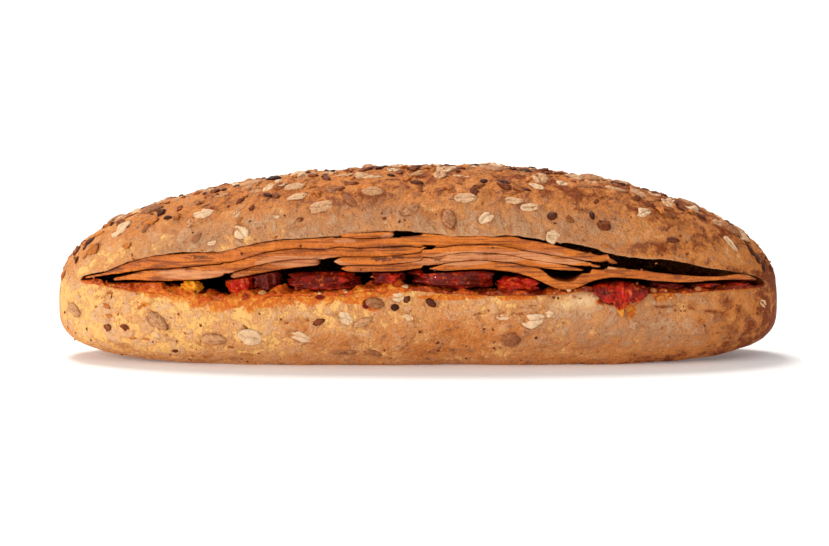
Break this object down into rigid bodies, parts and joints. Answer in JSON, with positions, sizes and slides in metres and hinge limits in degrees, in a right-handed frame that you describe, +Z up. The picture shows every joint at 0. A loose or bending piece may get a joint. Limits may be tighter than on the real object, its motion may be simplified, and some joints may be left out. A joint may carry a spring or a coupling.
{
  "type": "submarine sandwich",
  "caption": "Long seeded bread roll slit along one side as a pocket, filled with layered cooked meat slices and chopped dried tomato",
  "frame": {"origin": "on the flat base, below the middle of the bounding box", "axes": "+X along the roll, -Y is the open side with the filling, +Z up"},
  "size_m": [0.262, 0.0855, 0.0704],
  "materials": {
    "crust": "baked crust, stands in for bread",
    "turkey": "moist cooked meat, browned rim",
    "dried_tomato": "oily dried tomato",
    "yellow_pepper": "soft moist vegetable"
  },
  "bodies": {
    "root": {"roll": "crust", "turkey_slice_1": "turkey", "turkey_slice_2": "turkey", "turkey_slice_3": "turkey", "turkey_slice_4": "turkey", "turkey_slice_5": "turkey", "turkey_slice_6": "turkey", "turkey_slice_7": "turkey", "tomato_piece_1": "dried_tomato", "tomato_piece_2": "dried_tomato", "tomato_piece_3": "dried_tomato", "tomato_piece_4": "dried_tomato", "tomato_piece_5": "dried_tomato", "tomato_piece_6": "dried_tomato", "tomato_piece_7": "dried_tomato", "tomato_piece_8": "dried_tomato", "tomato_piece_9": "dried_tomato", "tomato_shred": "dried_tomato", "pepper_bit": "yellow_pepper"}
  },
  "joints": []
}
